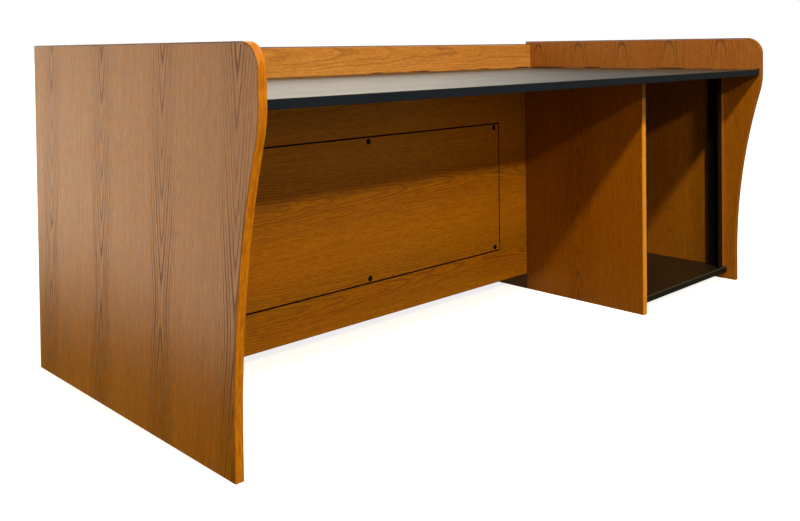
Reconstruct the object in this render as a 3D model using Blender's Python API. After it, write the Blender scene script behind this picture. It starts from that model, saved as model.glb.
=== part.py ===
import math

import bmesh
import bpy
from mathutils import Vector

# Presentation desk with an oak-veneered case, a black worktop and a 19-inch rack bay at the right.
# X runs across the desk, Y from the user's side to the audience's side, Z up from the floor.
# The origin lies on the floor at the middle of the desk. All sizes are in metres.

# Case
DESK_WIDTH = 2.003
FOOT_DEPTH = 0.876            # end panel measured along the floor
FRONT_OVERHANG = 0.091        # the end panel's top reaches this far ahead of its foot
BOARD = 0.019                 # every veneered board
EDGING = 0.003                # solid oak edge band
WORKTOP_HEIGHT = 0.709        # floor to the top of the worktop
END_RISE = 0.104              # end panels above the worktop
UPSTAND_RISE = 0.094          # rear panel above the worktop
CORNER_RADIUS = 0.052         # top front corner of an end panel
CURVE_START = 0.087           # height where the front edge leaves the vertical
CURVE_DROP = 0.0085           # the front edge is vertical again this far below the worktop's top
BEND_RADIUS = 0.225           # upper bend of the front edge
REAR_INSET = 0.004            # rear panel ahead of the end panels' rear edges
REAR_FLOOR_GAP = 0.012        # under the rear panel
CLEARANCE = 0.0003            # glue line or seat between two pieces

# Worktop
WORKTOP_THICKNESS = 0.0195
LAMINATE = 0.0012
WORKTOP_BAND = 0.002
WORKTOP_SETBACK = 0.005       # worktop behind the end panels' fronts
CABLE_GAP = 0.010             # between the worktop and the rear panel

# Inner panel and its access cover
INNER_SETBACK = 0.441         # face of the inner panel behind the end panels' feet
INNER_FLOOR_GAP = 0.050
COVER_MARGIN_LEFT = 0.160     # end of the inner panel to the access opening
COVER_MARGIN_RIGHT = 0.137
COVER_MARGIN_TOP = 0.1355     # worktop to the access opening
COVER_MARGIN_BOTTOM = 0.100
REVEAL = 0.0025               # open joint round the access cover
COVER_SCREW_INSET = 0.0112    # screw line to the cover's top or bottom edge
COVER_SCREW_SIDE = 0.0225     # end screws to the cover's side edges
COVER_SCREW_COLUMNS = 3
COVER_CLEAT_HOLD = 0.028      # how far a cleat laps the inner panel round the opening
CUP_RADIUS = 0.0075
CUP_RIM = 0.0006
CUP_HEIGHT = 0.0021
CUP_LIP_RADIUS = 0.0048
CUP_LIP_WIDTH = 0.0006
CUP_BORE_RADIUS = 0.0026
SCREW_DOME = 0.0009           # oval head above the cup
DOME_STEP = 0.6               # facet ring of the oval head, as a share of its radius

# Rack bay
RACK_OPENING = 0.45085        # between the two rail flanges
RACK_HOLE_SPACING = 0.4651    # between the two rows of mounting holes
RACK_UNIT = 0.04445
RACK_UNIT_HOLES = (0.00635, 0.022225, 0.0381)
RACK_HOLE_RADIUS = 0.0026
RAIL_FLANGE = 0.025
RAIL_LEG = 0.038
RAIL_METAL = 0.002
RAIL_SPACER = 0.019
RAIL_SPACER_DEPTH = 0.050
RAIL_SETBACK = 0.006          # rails behind the shelf's front edge
RAIL_SCREWS = 4
RAIL_SCREW_MARGIN = 0.070
DIVIDER_SETBACK = 0.011       # divider behind the end panels' feet
SHELF_SETBACK = 0.0296        # shelf behind the end panels' feet
SHELF_FLOOR_GAP = 0.023
SHELF_BAND = 0.002
SHELF_REAR_GAP = 0.040
SHELF_CLEAT = 0.019
SHELF_CLEAT_FLOOR_GAP = 0.003
SHELF_CLEAT_SETBACK = 0.040   # shelf cleats behind the shelf's front and ahead of its rear

# Cleats and screws
CLEAT_HEIGHT = 0.019
CLEAT_WIDTH = 0.038
CLEAT_SETBACK = 0.050         # worktop cleats behind the rail spacers
CORNER_CLEAT = 0.019
COVER_CLEAT = 0.019
BLOCK_LENGTH = 0.100
SCREW_RADIUS = 0.002
SCREW_HEAD_RADIUS = 0.004
SCREW_HEAD_HEIGHT = 0.0024
HEAD_CROWN = 0.7              # flat top of a pan head, as a share of its radius
SCREW_POINT = 0.003
SCREW_COVER = 0.007           # wood left beyond a screw's point
COVER_SCREW_SIDES = 16
RAIL_SCREW_SIDES = 10
RAIL_HOLE_SIDES = 8
SHARP_ANGLE = 40              # degrees; flatter edges of turned pieces are shaded smooth

# Arcs of the end panel's outline
LOWER_ARC_STEPS = 14
BEND_STEPS = 6
CORNER_STEPS = 10

# Finishes: colour, roughness and metallic value
OAK_FACE = ((0.36, 0.15, 0.038, 1.0), 0.42, 0.0)
OAK_EDGE = ((0.56, 0.22, 0.04, 1.0), 0.38, 0.0)
CLEAT_WOOD = ((0.50, 0.33, 0.17, 1.0), 0.65, 0.0)
BLACK_LAMINATE = ((0.022, 0.022, 0.024, 1.0), 0.32, 0.0)
CHARCOAL_BAND = ((0.040, 0.043, 0.048, 1.0), 0.45, 0.0)
BLACK_STEEL = ((0.010, 0.010, 0.011, 1.0), 0.40, 0.2)

# Places worked out from the sizes
LEFT = -DESK_WIDTH / 2
RIGHT = DESK_WIDTH / 2
FRONT = -(FOOT_DEPTH + FRONT_OVERHANG) / 2
REAR = -FRONT
FOOT_FRONT = FRONT + FRONT_OVERHANG
TOP = WORKTOP_HEIGHT + END_RISE
LEFT_FACE = LEFT + BOARD
RIGHT_FACE = RIGHT - BOARD
UNDERSIDE = WORKTOP_HEIGHT - WORKTOP_THICKNESS
CORE_TOP = WORKTOP_HEIGHT - LAMINATE - CLEARANCE
REAR_FACE = REAR - REAR_INSET - BOARD
WORKTOP_FRONT = FRONT + WORKTOP_SETBACK
WORKTOP_REAR = REAR_FACE - CABLE_GAP
BAY_WIDTH = RACK_OPENING + 2 * (RAIL_FLANGE + RAIL_SPACER + 2 * CLEARANCE)
DIVIDER_RIGHT = RIGHT_FACE - BAY_WIDTH
DIVIDER_LEFT = DIVIDER_RIGHT - BOARD
DIVIDER_FRONT = FOOT_FRONT + DIVIDER_SETBACK
INNER_FRONT = FOOT_FRONT + INNER_SETBACK
INNER_REAR = INNER_FRONT + BOARD
OPENING_LEFT = LEFT_FACE + COVER_MARGIN_LEFT
OPENING_RIGHT = DIVIDER_LEFT - COVER_MARGIN_RIGHT
OPENING_TOP = UNDERSIDE - COVER_MARGIN_TOP
OPENING_BOTTOM = INNER_FLOOR_GAP + COVER_MARGIN_BOTTOM
COVER_LAP = REVEAL + 2 * COVER_SCREW_INSET
SHELF_TOP = SHELF_FLOOR_GAP + BOARD
SHELF_FRONT = FOOT_FRONT + SHELF_SETBACK
SHELF_REAR = REAR_FACE - SHELF_REAR_GAP
RAIL_FRONT = SHELF_FRONT + RAIL_SETBACK
RAIL_BOTTOM = SHELF_TOP + CLEARANCE
RAIL_TOP = UNDERSIDE - CLEARANCE
SPACER_REAR = RAIL_FRONT + RAIL_SPACER_DEPTH
CLEAT_FRONT = SPACER_REAR + CLEAT_SETBACK
CLEAT_BOTTOM = UNDERSIDE - CLEARANCE - CLEAT_HEIGHT
CORNER_TOP = CLEAT_BOTTOM - CLEARANCE
BOARD_BITE = BOARD - SCREW_COVER

ACROSS = Vector((1, 0, 0))
BACKWARD = Vector((0, 1, 0))
UPWARD = Vector((0, 0, 1))


def clear_scene():
    for item in list(bpy.data.objects):
        bpy.data.objects.remove(item, do_unlink=True)


def add_empty(name, place):
    empty = bpy.data.objects.new(name, None)
    empty.location = place
    bpy.context.scene.collection.objects.link(empty)
    return empty


def paint(piece, finish):
    colour, roughness, metallic = finish
    material = bpy.data.materials.new(piece.name)
    material.use_nodes = True
    shader = material.node_tree.nodes["Principled BSDF"]
    shader.inputs["Base Color"].default_value = colour
    shader.inputs["Roughness"].default_value = roughness
    shader.inputs["Metallic"].default_value = metallic
    piece.data.materials.append(material)


def add_piece(name, shape, finish, parent, centre):
    """Make an object of a shape given in desk coordinates, with its own origin at centre."""
    bmesh.ops.recalc_face_normals(shape, faces=shape.faces)
    bmesh.ops.translate(shape, verts=shape.verts, vec=-centre)
    mesh = bpy.data.meshes.new(name)
    shape.to_mesh(mesh)
    shape.free()
    piece = bpy.data.objects.new(name, mesh)
    bpy.context.scene.collection.objects.link(piece)
    piece.parent = parent
    piece.location = centre - parent.location
    paint(piece, finish)
    return piece


def box_shape(low, high):
    shape = bmesh.new()
    bmesh.ops.create_cube(shape, size=1.0)
    bmesh.ops.scale(shape, verts=shape.verts, vec=high - low)
    bmesh.ops.translate(shape, verts=shape.verts, vec=(low + high) / 2)
    return shape


def add_board(name, low, high, finish, parent):
    """A square-edged board between two opposite corners."""
    low = Vector(low)
    high = Vector(high)
    return add_piece(name, box_shape(low, high), finish, parent, (low + high) / 2)


def add_prism(name, outline, travel, finish, parent):
    """A flat outline carried straight along travel."""
    shape = bmesh.new()
    face = shape.faces.new([shape.verts.new(point) for point in outline])
    grown = bmesh.ops.extrude_face_region(shape, geom=[face])["geom"]
    moved = [item for item in grown if isinstance(item, bmesh.types.BMVert)]
    bmesh.ops.translate(shape, verts=moved, vec=travel)
    return add_piece(name, shape, finish, parent, Vector(outline[0]))


def side_directions(axis):
    """Two unit vectors square to an axis and to each other."""
    helper = UPWARD if abs(axis.z) < 0.5 else ACROSS
    first = axis.cross(helper).normalized()
    return first, axis.cross(first)


def turn(shape, profile, place, axis, sides, ring=False):
    """Turn a profile of (radius, distance along the axis) into a closed body.

    The profile starts and ends on the axis, or closes on itself for a ring.
    """
    first, second = side_directions(axis)
    rows = []
    for radius, along in profile:
        middle = place + axis * along
        if radius == 0:
            rows.append([shape.verts.new(middle)] * sides)
            continue
        row = []
        for index in range(sides):
            angle = 2 * math.pi * index / sides
            outward = first * math.cos(angle) + second * math.sin(angle)
            row.append(shape.verts.new(middle + radius * outward))
        rows.append(row)
    pairs = list(zip(rows, rows[1:]))
    if ring:
        pairs.append((rows[-1], rows[0]))
    for upper, lower in pairs:
        for index in range(sides):
            after = (index + 1) % sides
            corners = [upper[index], upper[after], lower[after], lower[index]]
            shape.faces.new(list(dict.fromkeys(corners)))


def rod_profile(radius, start, end):
    return [(0, start), (radius, start), (radius, end), (0, end)]


def cut(board, cutter_shape):
    """Take a shape, given in desk coordinates, out of a board."""
    bmesh.ops.recalc_face_normals(cutter_shape, faces=cutter_shape.faces)
    mesh = bpy.data.meshes.new("cutter")
    cutter_shape.to_mesh(mesh)
    cutter_shape.free()
    cutter = bpy.data.objects.new("cutter", mesh)
    cutter.hide_render = True
    cutter.display_type = "WIRE"
    bpy.context.scene.collection.objects.link(cutter)
    modifier = board.modifiers.new("cut", "BOOLEAN")
    modifier.operation = "DIFFERENCE"
    modifier.solver = "EXACT"
    modifier.object = cutter
    bpy.context.view_layer.update()
    evaluated = board.evaluated_get(bpy.context.evaluated_depsgraph_get())
    cut_mesh = bpy.data.meshes.new_from_object(evaluated)
    board.modifiers.clear()
    board.data = cut_mesh
    bpy.data.objects.remove(cutter, do_unlink=True)


def drill(boards, places, axis, radius, start, end, sides):
    for board in boards:
        shape = bmesh.new()
        for place in places:
            turn(shape, rod_profile(radius, start, end), place, axis, sides)
        cut(board, shape)


def add_turned(name, profile, seat, axis, sides, finish, parent, ring=False):
    """A turned piece with its origin at its seat, shaded smooth."""
    shape = bmesh.new()
    turn(shape, profile, seat, axis, sides, ring)
    piece = add_piece(name, shape, finish, parent, seat)
    piece.data.shade_smooth()
    piece.data.set_sharp_from_angle(angle=math.radians(SHARP_ANGLE))
    return piece


def spread(start, end, margin, count):
    step = (end - start - 2 * margin) / (count - 1)
    return [start + margin + step * index for index in range(count)]


def arc(centre, radius, start, end, steps):
    """Points of an arc in the YZ plane; angles in radians from +Y towards +Z."""
    points = []
    for index in range(steps + 1):
        angle = start + (end - start) * index / steps
        points.append((centre[0] + radius * math.cos(angle), centre[1] + radius * math.sin(angle)))
    return points


def front_line(inset):
    """Front and top edge of an end panel, drawn in by inset.

    It runs up from the foot along a wide lower arc, a tighter upper bend and the rounded top corner.
    """
    bend_height = WORKTOP_HEIGHT - CURVE_DROP
    rise = bend_height - CURVE_START
    both_radii = (FRONT_OVERHANG ** 2 + rise ** 2) / (2 * FRONT_OVERHANG)
    lower_radius = both_radii - BEND_RADIUS
    lean = math.atan2(rise, both_radii - FRONT_OVERHANG)
    lower_centre = (FOOT_FRONT - lower_radius, CURVE_START)
    bend_centre = (FRONT + BEND_RADIUS, bend_height)
    corner_centre = (FRONT + CORNER_RADIUS, TOP - CORNER_RADIUS)
    points = [(FOOT_FRONT + inset, 0)]
    points += arc(lower_centre, lower_radius + inset, 0, lean, LOWER_ARC_STEPS)
    points += arc(bend_centre, BEND_RADIUS - inset, math.pi + lean, math.pi, BEND_STEPS)[1:]
    points += arc(corner_centre, CORNER_RADIUS - inset, math.pi, math.pi / 2, CORNER_STEPS)
    return points


def add_end_panel(side, outer, inner, frame):
    """An end panel with its bent front band and its straight rear band."""
    travel = ACROSS * (inner - outer)
    core_rear = REAR - EDGING - CLEARANCE
    core_inset = EDGING + CLEARANCE
    core = front_line(core_inset) + [(core_rear, TOP - core_inset), (core_rear, 0)]
    panel = add_prism(side + "_end_panel", [(outer, y, z) for y, z in core], travel, OAK_FACE, frame)
    band = front_line(0) + [(REAR, TOP), (REAR, TOP - EDGING)] + front_line(EDGING)[::-1]
    add_prism(side + "_front_edging", [(outer, y, z) for y, z in band], travel, OAK_EDGE, frame)
    add_board(
        side + "_rear_edging",
        (min(outer, inner), REAR - EDGING, 0),
        (max(outer, inner), REAR, TOP - EDGING - CLEARANCE),
        OAK_EDGE,
        frame,
    )
    return panel


def add_case(frame):
    """End panels, rear panel, divider and inner panel with their edge bands."""
    add_end_panel("left", LEFT, LEFT_FACE, frame)
    right_panel = add_end_panel("right", RIGHT, RIGHT_FACE, frame)
    rear_top = WORKTOP_HEIGHT + UPSTAND_RISE
    add_board(
        "rear_panel",
        (LEFT_FACE + CLEARANCE, REAR_FACE, REAR_FLOOR_GAP),
        (RIGHT_FACE - CLEARANCE, REAR_FACE + BOARD, rear_top - EDGING - CLEARANCE),
        OAK_FACE,
        frame,
    )
    add_board(
        "rear_panel_edging",
        (LEFT_FACE + CLEARANCE, REAR_FACE, rear_top - EDGING),
        (RIGHT_FACE - CLEARANCE, REAR_FACE + BOARD, rear_top),
        OAK_EDGE,
        frame,
    )
    divider = add_board(
        "divider",
        (DIVIDER_LEFT, DIVIDER_FRONT + EDGING + CLEARANCE, 0),
        (DIVIDER_RIGHT, REAR_FACE - CLEARANCE, UNDERSIDE - CLEARANCE),
        OAK_FACE,
        frame,
    )
    add_board(
        "divider_edging",
        (DIVIDER_LEFT, DIVIDER_FRONT, 0),
        (DIVIDER_RIGHT, DIVIDER_FRONT + EDGING, UNDERSIDE - CLEARANCE),
        OAK_EDGE,
        frame,
    )
    inner_panel = add_board(
        "inner_panel",
        (LEFT_FACE + CLEARANCE, INNER_FRONT, INNER_FLOOR_GAP),
        (DIVIDER_LEFT - CLEARANCE, INNER_REAR, UNDERSIDE - CLEARANCE),
        OAK_FACE,
        frame,
    )
    opening = box_shape(
        Vector((OPENING_LEFT, INNER_FRONT - BOARD, OPENING_BOTTOM)),
        Vector((OPENING_RIGHT, INNER_REAR + BOARD, OPENING_TOP)),
    )
    cut(inner_panel, opening)
    return right_panel, divider


def add_worktop(frame):
    """Core board, top laminate and front band between the end panels."""
    left = LEFT_FACE + CLEARANCE
    right = RIGHT_FACE - CLEARANCE
    add_board(
        "worktop",
        (left, WORKTOP_FRONT + WORKTOP_BAND + CLEARANCE, UNDERSIDE),
        (right, WORKTOP_REAR, CORE_TOP),
        BLACK_LAMINATE,
        frame,
    )
    add_board(
        "worktop_laminate",
        (left, WORKTOP_FRONT, WORKTOP_HEIGHT - LAMINATE),
        (right, WORKTOP_REAR, WORKTOP_HEIGHT),
        BLACK_LAMINATE,
        frame,
    )
    add_board(
        "worktop_front_band",
        (left, WORKTOP_FRONT, UNDERSIDE),
        (right, WORKTOP_FRONT + WORKTOP_BAND, CORE_TOP),
        CHARCOAL_BAND,
        frame,
    )


def add_worktop_cleats(frame):
    """Flat cleats glued to the end panels and blocks glued to the rear panel, under the worktop."""
    spans = (
        ("worktop_cleat_left_front", LEFT_FACE, 1, CLEAT_FRONT, INNER_FRONT - CLEARANCE),
        ("worktop_cleat_left_rear", LEFT_FACE, 1, INNER_REAR + CLEARANCE, REAR_FACE - CLEARANCE),
        ("worktop_cleat_right", RIGHT_FACE, -1, CLEAT_FRONT, REAR_FACE - CLEARANCE),
    )
    cleat_top = CLEAT_BOTTOM + CLEAT_HEIGHT
    for name, face, inward, front, rear in spans:
        near = face + inward * CLEARANCE
        far = near + inward * CLEAT_WIDTH
        low = (min(near, far), front, CLEAT_BOTTOM)
        add_board(name, low, (max(near, far), rear, cleat_top), CLEAT_WOOD, frame)
    block_rear = REAR_FACE - CLEARANCE
    third = (DIVIDER_LEFT - LEFT_FACE) / 3
    for name, middle in (
        ("worktop_block_left", LEFT_FACE + third),
        ("worktop_block_right", DIVIDER_LEFT - third),
    ):
        low = (middle - BLOCK_LENGTH / 2, block_rear - CLEAT_WIDTH, CLEAT_BOTTOM)
        high = (middle + BLOCK_LENGTH / 2, block_rear, cleat_top)
        add_board(name, low, high, CLEAT_WOOD, frame)


def add_corner_cleats(frame):
    """Upright square cleats that tie the inner and rear panels to the end panels and the divider."""
    corners = (
        ("inner_cleat_left", LEFT_FACE, 1, INNER_REAR, 1, INNER_FLOOR_GAP),
        ("inner_cleat_right", DIVIDER_LEFT, -1, INNER_REAR, 1, INNER_FLOOR_GAP),
        ("rear_cleat_left", LEFT_FACE, 1, REAR_FACE, -1, REAR_FLOOR_GAP),
        ("rear_cleat_middle", DIVIDER_LEFT, -1, REAR_FACE, -1, REAR_FLOOR_GAP),
        ("rear_cleat_right", RIGHT_FACE, -1, REAR_FACE, -1, REAR_FLOOR_GAP),
    )
    for name, side_face, inward, back_face, outward, bottom in corners:
        side_near = side_face + inward * CLEARANCE
        side_far = side_near + inward * CORNER_CLEAT
        back_near = back_face + outward * CLEARANCE
        back_far = back_near + outward * CORNER_CLEAT
        low = (min(side_near, side_far), min(back_near, back_far), bottom)
        high = (max(side_near, side_far), max(back_near, back_far), CORNER_TOP)
        add_board(name, low, high, CLEAT_WOOD, frame)


def add_cover_cleats(frame):
    """Four flat cleats glued behind the access opening; the cover seats on the part that laps into it."""
    near = INNER_REAR + CLEARANCE
    far = near + COVER_CLEAT
    left = OPENING_LEFT - COVER_CLEAT_HOLD
    right = OPENING_RIGHT + COVER_CLEAT_HOLD
    top = OPENING_TOP + COVER_CLEAT_HOLD
    bottom = OPENING_BOTTOM - COVER_CLEAT_HOLD
    upper_edge = OPENING_TOP - COVER_LAP
    lower_edge = OPENING_BOTTOM + COVER_LAP
    side_low = lower_edge + CLEARANCE
    side_high = upper_edge - CLEARANCE
    inner_left = OPENING_LEFT + COVER_LAP
    inner_right = OPENING_RIGHT - COVER_LAP
    cleats = {}
    for name, start, end, low, high in (
        ("cover_cleat_top", left, right, upper_edge, top),
        ("cover_cleat_bottom", left, right, bottom, lower_edge),
        ("cover_cleat_left", left, inner_left, side_low, side_high),
        ("cover_cleat_right", inner_right, right, side_low, side_high),
    ):
        cleats[name] = add_board(name, (start, near, low), (end, far, high), CLEAT_WOOD, frame)
    return cleats["cover_cleat_top"], cleats["cover_cleat_bottom"]


def add_access_cover(top_cleat, bottom_cleat):
    """Lift-off cover flush in the inner panel, with its cup washers and oval-head screws."""
    left = OPENING_LEFT + REVEAL
    right = OPENING_RIGHT - REVEAL
    top = OPENING_TOP - REVEAL
    bottom = OPENING_BOTTOM + REVEAL
    centre = Vector(((left + right) / 2, (INNER_FRONT + INNER_REAR) / 2, (top + bottom) / 2))
    slide = add_empty("access_cover_slide", centre)
    low = (left, INNER_FRONT, bottom)
    cover = add_board("access_cover", low, (right, INNER_REAR, top), OAK_FACE, slide)

    columns = spread(left, right, COVER_SCREW_SIDE, COVER_SCREW_COLUMNS)
    upper = [Vector((x, INNER_FRONT, top - COVER_SCREW_INSET)) for x in columns]
    lower = [Vector((x, INNER_FRONT, bottom + COVER_SCREW_INSET)) for x in columns]
    length = BOARD + CLEARANCE + COVER_CLEAT - SCREW_COVER
    cone_slope = (CUP_LIP_RADIUS - CUP_BORE_RADIUS) / CUP_HEIGHT
    cone_gap = CLEARANCE * math.sqrt(1 + cone_slope ** 2)
    head_radius = CUP_LIP_RADIUS - cone_gap
    head_depth = (head_radius - SCREW_RADIUS) / cone_slope
    cup_top = CLEARANCE + CUP_HEIGHT
    cup_profile = [
        (CUP_RADIUS, -CLEARANCE),
        (CUP_RADIUS, -CLEARANCE - CUP_RIM),
        (CUP_LIP_RADIUS + 2 * CUP_LIP_WIDTH, -CLEARANCE - (CUP_RIM + 2 * CUP_HEIGHT) / 3),
        (CUP_LIP_RADIUS + CUP_LIP_WIDTH, -cup_top),
        (CUP_LIP_RADIUS, -cup_top),
        (CUP_BORE_RADIUS, -CLEARANCE),
    ]
    screw_profile = [
        (0, -cup_top - SCREW_DOME),
        (head_radius * DOME_STEP, -cup_top - SCREW_DOME * (1 - DOME_STEP ** 2)),
        (head_radius, -cup_top),
        (SCREW_RADIUS, -cup_top + head_depth),
        (SCREW_RADIUS, length - SCREW_POINT),
        (0, length),
    ]
    hole = SCREW_RADIUS + CLEARANCE
    drill((cover,), upper + lower, BACKWARD, hole, -CUP_HEIGHT, length, COVER_SCREW_SIDES)
    drill((top_cleat,), upper, BACKWARD, hole, 0, length + CLEARANCE, COVER_SCREW_SIDES)
    drill((bottom_cleat,), lower, BACKWARD, hole, 0, length + CLEARANCE, COVER_SCREW_SIDES)
    turning = (BACKWARD, COVER_SCREW_SIDES, BLACK_STEEL, slide)
    for number, seat in enumerate(upper + lower, 1):
        add_turned(f"cover_cup_washer_{number}", cup_profile, seat, *turning, ring=True)
        add_turned(f"cover_screw_{number}", screw_profile, seat, *turning)


def add_rack_shelf(frame):
    """Bottom shelf of the rack bay on two side cleats."""
    left = DIVIDER_RIGHT + CLEARANCE
    right = RIGHT_FACE - CLEARANCE
    band_rear = SHELF_FRONT + SHELF_BAND
    low = (left, band_rear + CLEARANCE, SHELF_FLOOR_GAP)
    add_board("rack_shelf", low, (right, SHELF_REAR, SHELF_TOP), BLACK_LAMINATE, frame)
    low = (left, SHELF_FRONT, SHELF_FLOOR_GAP)
    add_board("rack_shelf_band", low, (right, band_rear, SHELF_TOP), CHARCOAL_BAND, frame)
    front = SHELF_FRONT + SHELF_CLEAT_SETBACK
    rear = SHELF_REAR - SHELF_CLEAT_SETBACK
    for name, face, inward in (
        ("shelf_cleat_left", DIVIDER_RIGHT, 1),
        ("shelf_cleat_right", RIGHT_FACE, -1),
    ):
        near = face + inward * CLEARANCE
        far = near + inward * SHELF_CLEAT
        low = (min(near, far), front, SHELF_CLEAT_FLOOR_GAP)
        high = (max(near, far), rear, SHELF_FLOOR_GAP - CLEARANCE)
        add_board(name, low, high, CLEAT_WOOD, frame)


def rack_hole_heights():
    """Heights of one rail's mounting holes: whole rack units from the rail's foot."""
    units = int((RAIL_TOP - RAIL_BOTTOM) / RACK_UNIT)
    start = RAIL_BOTTOM + (RAIL_TOP - RAIL_BOTTOM - units * RACK_UNIT) / 2
    return [start + unit * RACK_UNIT + step for unit in range(units) for step in RACK_UNIT_HOLES]


def add_rack_rails(divider, right_panel, frame):
    """Angle rails with rack-spaced holes, each on a wooden spacer that brings it to the rack width."""
    heights = rack_hole_heights()
    screw_heights = spread(RAIL_BOTTOM, RAIL_TOP, RAIL_SCREW_MARGIN, RAIL_SCREWS)
    hole_inset = (RACK_HOLE_SPACING - RACK_OPENING) / 2
    travel = UPWARD * (RAIL_TOP - RAIL_BOTTOM)
    for side, panel, face, inward in (
        ("left", divider, DIVIDER_RIGHT, 1),
        ("right", right_panel, RIGHT_FACE, -1),
    ):
        spacer_near = face + inward * CLEARANCE
        spacer_far = spacer_near + inward * RAIL_SPACER
        low = (min(spacer_near, spacer_far), RAIL_FRONT, RAIL_BOTTOM)
        high = (max(spacer_near, spacer_far), SPACER_REAR, RAIL_TOP)
        spacer = add_board("rail_spacer_" + side, low, high, OAK_FACE, frame)
        heel = spacer_far + inward * CLEARANCE
        leg = heel + inward * RAIL_METAL
        toe = heel + inward * RAIL_FLANGE
        outline = [
            (heel, RAIL_FRONT, RAIL_BOTTOM),
            (toe, RAIL_FRONT, RAIL_BOTTOM),
            (toe, RAIL_FRONT + RAIL_METAL, RAIL_BOTTOM),
            (leg, RAIL_FRONT + RAIL_METAL, RAIL_BOTTOM),
            (leg, RAIL_FRONT + RAIL_LEG, RAIL_BOTTOM),
            (heel, RAIL_FRONT + RAIL_LEG, RAIL_BOTTOM),
        ]
        rail = add_prism("rack_rail_" + side, outline, travel, BLACK_STEEL, frame)
        holes = [Vector((toe - inward * hole_inset, RAIL_FRONT, z)) for z in heights]
        drill((rail,), holes, BACKWARD, RACK_HOLE_RADIUS, -RAIL_METAL, 2 * RAIL_METAL, RAIL_HOLE_SIDES)
        screw_line = RAIL_FRONT + (RAIL_METAL + RAIL_LEG) / 2
        seats = [Vector((leg, screw_line, z)) for z in screw_heights]
        length = RAIL_METAL + RAIL_SPACER + 2 * CLEARANCE + BOARD_BITE
        profile = [
            (0, -CLEARANCE - SCREW_HEAD_HEIGHT),
            (SCREW_HEAD_RADIUS * HEAD_CROWN, -CLEARANCE - SCREW_HEAD_HEIGHT),
            (SCREW_HEAD_RADIUS, -CLEARANCE - SCREW_HEAD_HEIGHT / 2),
            (SCREW_HEAD_RADIUS, -CLEARANCE),
            (SCREW_RADIUS, -CLEARANCE),
            (SCREW_RADIUS, length - SCREW_POINT),
            (0, length),
        ]
        outward = ACROSS * -inward
        hole = SCREW_RADIUS + CLEARANCE
        depth = length + CLEARANCE
        drill((rail, spacer, panel), seats, outward, hole, -RAIL_METAL, depth, RAIL_SCREW_SIDES)
        turning = (outward, RAIL_SCREW_SIDES, BLACK_STEEL, frame)
        for number, seat in enumerate(seats, 1):
            add_turned(f"rail_screw_{side}_{number}", profile, seat, *turning)


def build_desk():
    clear_scene()
    frame = add_empty("desk", Vector((0, 0, 0)))
    right_panel, divider = add_case(frame)
    add_worktop(frame)
    add_worktop_cleats(frame)
    add_corner_cleats(frame)
    top_cleat, bottom_cleat = add_cover_cleats(frame)
    add_access_cover(top_cleat, bottom_cleat)
    add_rack_shelf(frame)
    add_rack_rails(divider, right_panel, frame)


build_desk()
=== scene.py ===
import math

import bmesh
import bpy
import numpy as np
from mathutils import Matrix, Vector


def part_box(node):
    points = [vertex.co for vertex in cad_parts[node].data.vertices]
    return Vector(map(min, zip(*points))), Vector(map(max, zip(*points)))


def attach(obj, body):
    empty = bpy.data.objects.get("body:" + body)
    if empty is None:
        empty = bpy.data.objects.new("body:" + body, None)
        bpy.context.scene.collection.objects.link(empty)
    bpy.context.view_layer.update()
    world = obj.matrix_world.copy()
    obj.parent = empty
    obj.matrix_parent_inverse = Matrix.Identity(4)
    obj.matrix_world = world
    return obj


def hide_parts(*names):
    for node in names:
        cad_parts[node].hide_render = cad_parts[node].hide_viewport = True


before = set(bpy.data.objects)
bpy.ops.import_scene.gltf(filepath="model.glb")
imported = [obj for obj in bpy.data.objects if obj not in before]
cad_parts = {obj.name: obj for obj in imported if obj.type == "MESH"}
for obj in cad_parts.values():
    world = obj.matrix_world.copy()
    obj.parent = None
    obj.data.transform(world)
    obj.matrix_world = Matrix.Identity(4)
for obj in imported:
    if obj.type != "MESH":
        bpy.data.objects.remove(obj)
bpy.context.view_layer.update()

# Mesh helpers


def together(*coordinates):
    # coordinates of different shapes, spread over one grid and joined as its points
    return np.stack(np.broadcast_arrays(*coordinates), axis=-1)


def gridQuads(rows, columns, closed=True):
    # quads between neighbouring rows and columns; a closed grid joins its last column to its first
    across = columns if closed else columns - 1
    row, column = np.meshgrid(np.arange(rows - 1), np.arange(across), indexing="ij")
    after = (column + 1) % columns
    low = row * columns
    high = low + columns
    return np.stack([low + column, low + after, high + after, high + column], axis=-1).reshape(-1, 4)


def joinRows(last, count):
    # quads that join the row of that number to the first one
    place = np.arange(count)
    after = (place + 1) % count
    return np.stack([last * count + place, last * count + after, after, place], axis=-1)


def putPiece(name, points, faces, normals=None, grain=None):
    # points in desk metres; normals and grain coordinates are one for each face corner
    mesh = bpy.data.meshes.new(name)
    mesh.from_pydata(points.reshape(-1, 3).tolist(), [], faces)
    if grain is not None:
        layer = mesh.uv_layers.new(name="grain")
        layer.data.foreach_set("uv", np.ascontiguousarray(grain, dtype=np.float32).ravel())
    if normals is not None:
        mesh.normals_split_custom_set(normals.tolist())
    piece = bpy.data.objects.new(name, mesh)
    bpy.context.scene.collection.objects.link(piece)
    return piece


def closeUp(piece, sharpAngle=35.0, seam=2e-6):
    # merges the points where grids meet, turns the faces outwards and smooths the round parts
    shape = bmesh.new()
    shape.from_mesh(piece.data)
    bmesh.ops.remove_doubles(shape, verts=shape.verts, dist=seam)
    bmesh.ops.recalc_face_normals(shape, faces=shape.faces)
    shape.to_mesh(piece.data)
    shape.free()
    piece.data.shade_smooth()
    piece.data.set_sharp_from_angle(angle=math.radians(sharpAngle))
    weighted = piece.modifiers.new("flat faces stay flat", "WEIGHTED_NORMAL")
    weighted.keep_sharp = True
    return piece


def dress(piece, material, slot, body, *nodes):
    piece.data.materials.append(material)
    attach(piece, body)
    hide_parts(*nodes)
    return piece


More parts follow.
